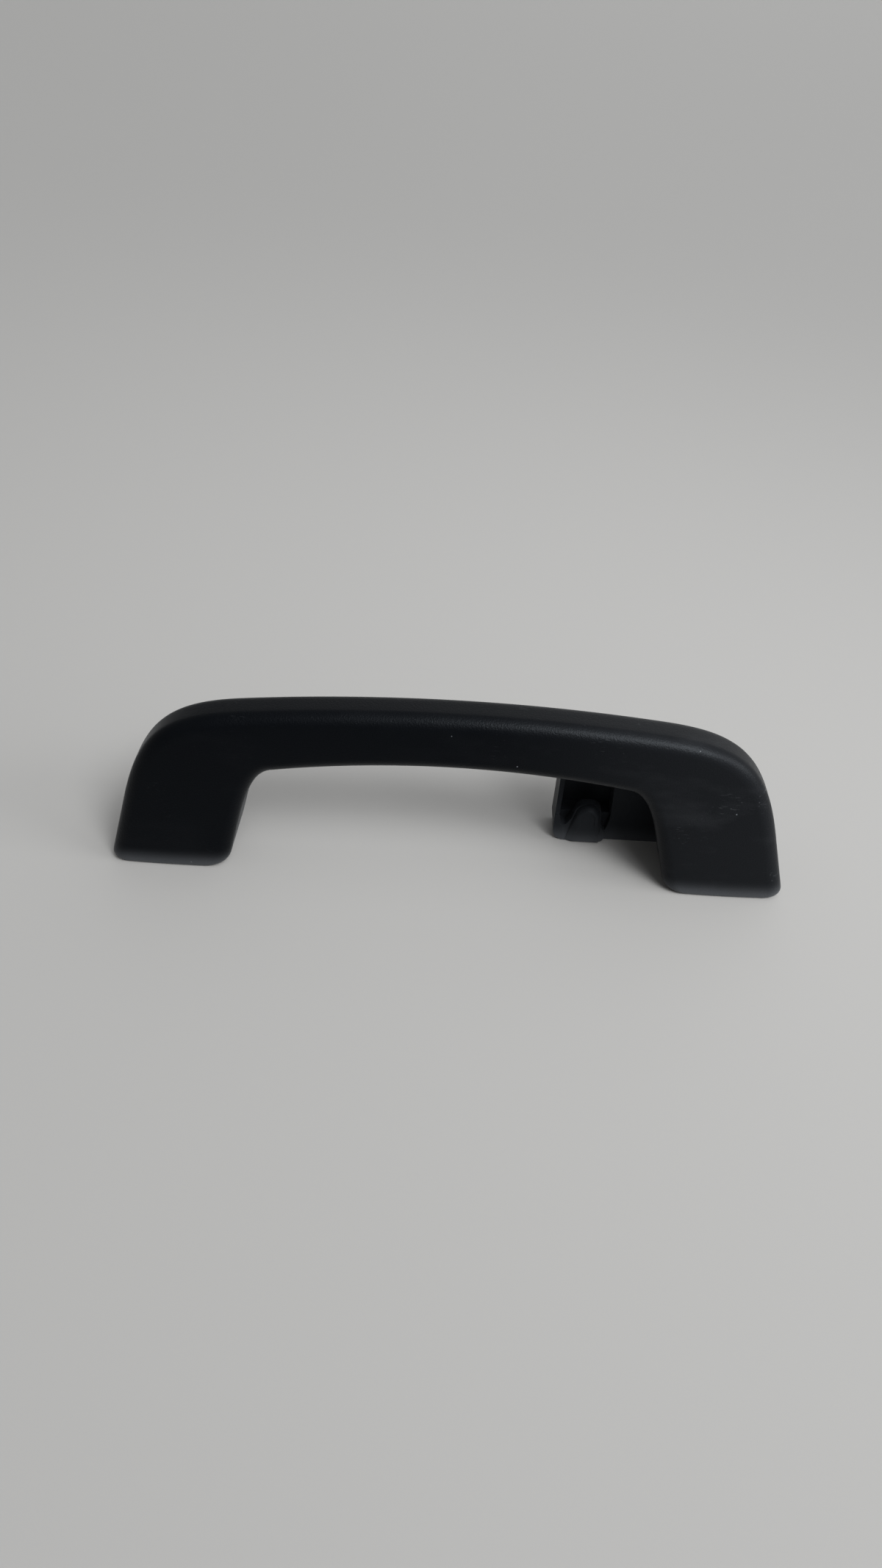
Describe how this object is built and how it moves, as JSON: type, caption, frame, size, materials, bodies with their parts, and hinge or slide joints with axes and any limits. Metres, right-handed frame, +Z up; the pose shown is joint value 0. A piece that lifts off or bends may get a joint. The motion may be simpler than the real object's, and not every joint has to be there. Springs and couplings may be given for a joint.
{
  "type": "roof grab handle",
  "caption": "Folding roof grab handle of a car: arched grained plastic grip with two hollow legs, hinged on two screw-on bases, one of them with an integral coat hook.",
  "frame": {"origin": "midway between the two fixing holes, on the mounting plane at the back of the bases", "axes": "+X along the grip, towards the base with the coat hook; +Y back, into the roof panel; +Z up as pictured, from the feet of the legs to the top of the folded bar"},
  "size_m": [0.244, 0.047, 0.07],
  "materials": {
    "grip_plastic": "moulded black plastic with a fine grain, slightly worn",
    "cover_plastic": "moulded black plastic with a fine grain",
    "base_plastic": "moulded black plastic, smooth",
    "nylon_dark": "dark glass-filled nylon",
    "nylon_white": "natural acetal",
    "steel": "zinc-plated steel",
    "rubber": "black rubber"
  },
  "bodies": {
    "bases": {"left_base": "base_plastic", "right_base": "base_plastic", "left_screw_sleeve": "steel", "right_screw_sleeve": "steel", "left_screw_cap": "base_plastic", "right_screw_cap": "base_plastic", "left_pivot_bushes": "nylon_white", "right_pivot_bushes": "nylon_white", "return_spring": "steel", "spring_sleeve": "nylon_white", "damper_housing": "nylon_dark", "damper_lid": "nylon_dark", "left_bumper": "rubber", "right_bumper": "rubber"},
    "handle": {"grip_front_shell": "grip_plastic", "grip_rear_cover": "cover_plastic", "cover_screws": "steel", "left_hinge_carrier": "nylon_dark", "right_hinge_carrier": "nylon_dark", "carrier_screws": "steel", "left_hinge_pin": "steel", "right_hinge_pin": "steel", "left_pin_clip": "steel", "right_pin_clip": "steel", "damper_rotor": "nylon_white"}
  },
  "joints": [
    {"name": "handle_pivot", "type": "hinge", "parent": "bases", "child": "handle", "pos_m": [0, -0.026, -0.0165], "axis": [1, 0, 0], "range_deg": [0, 90], "stiffness_Nm_per_rad": 0.15, "springref_deg": -34.38}
  ]
}
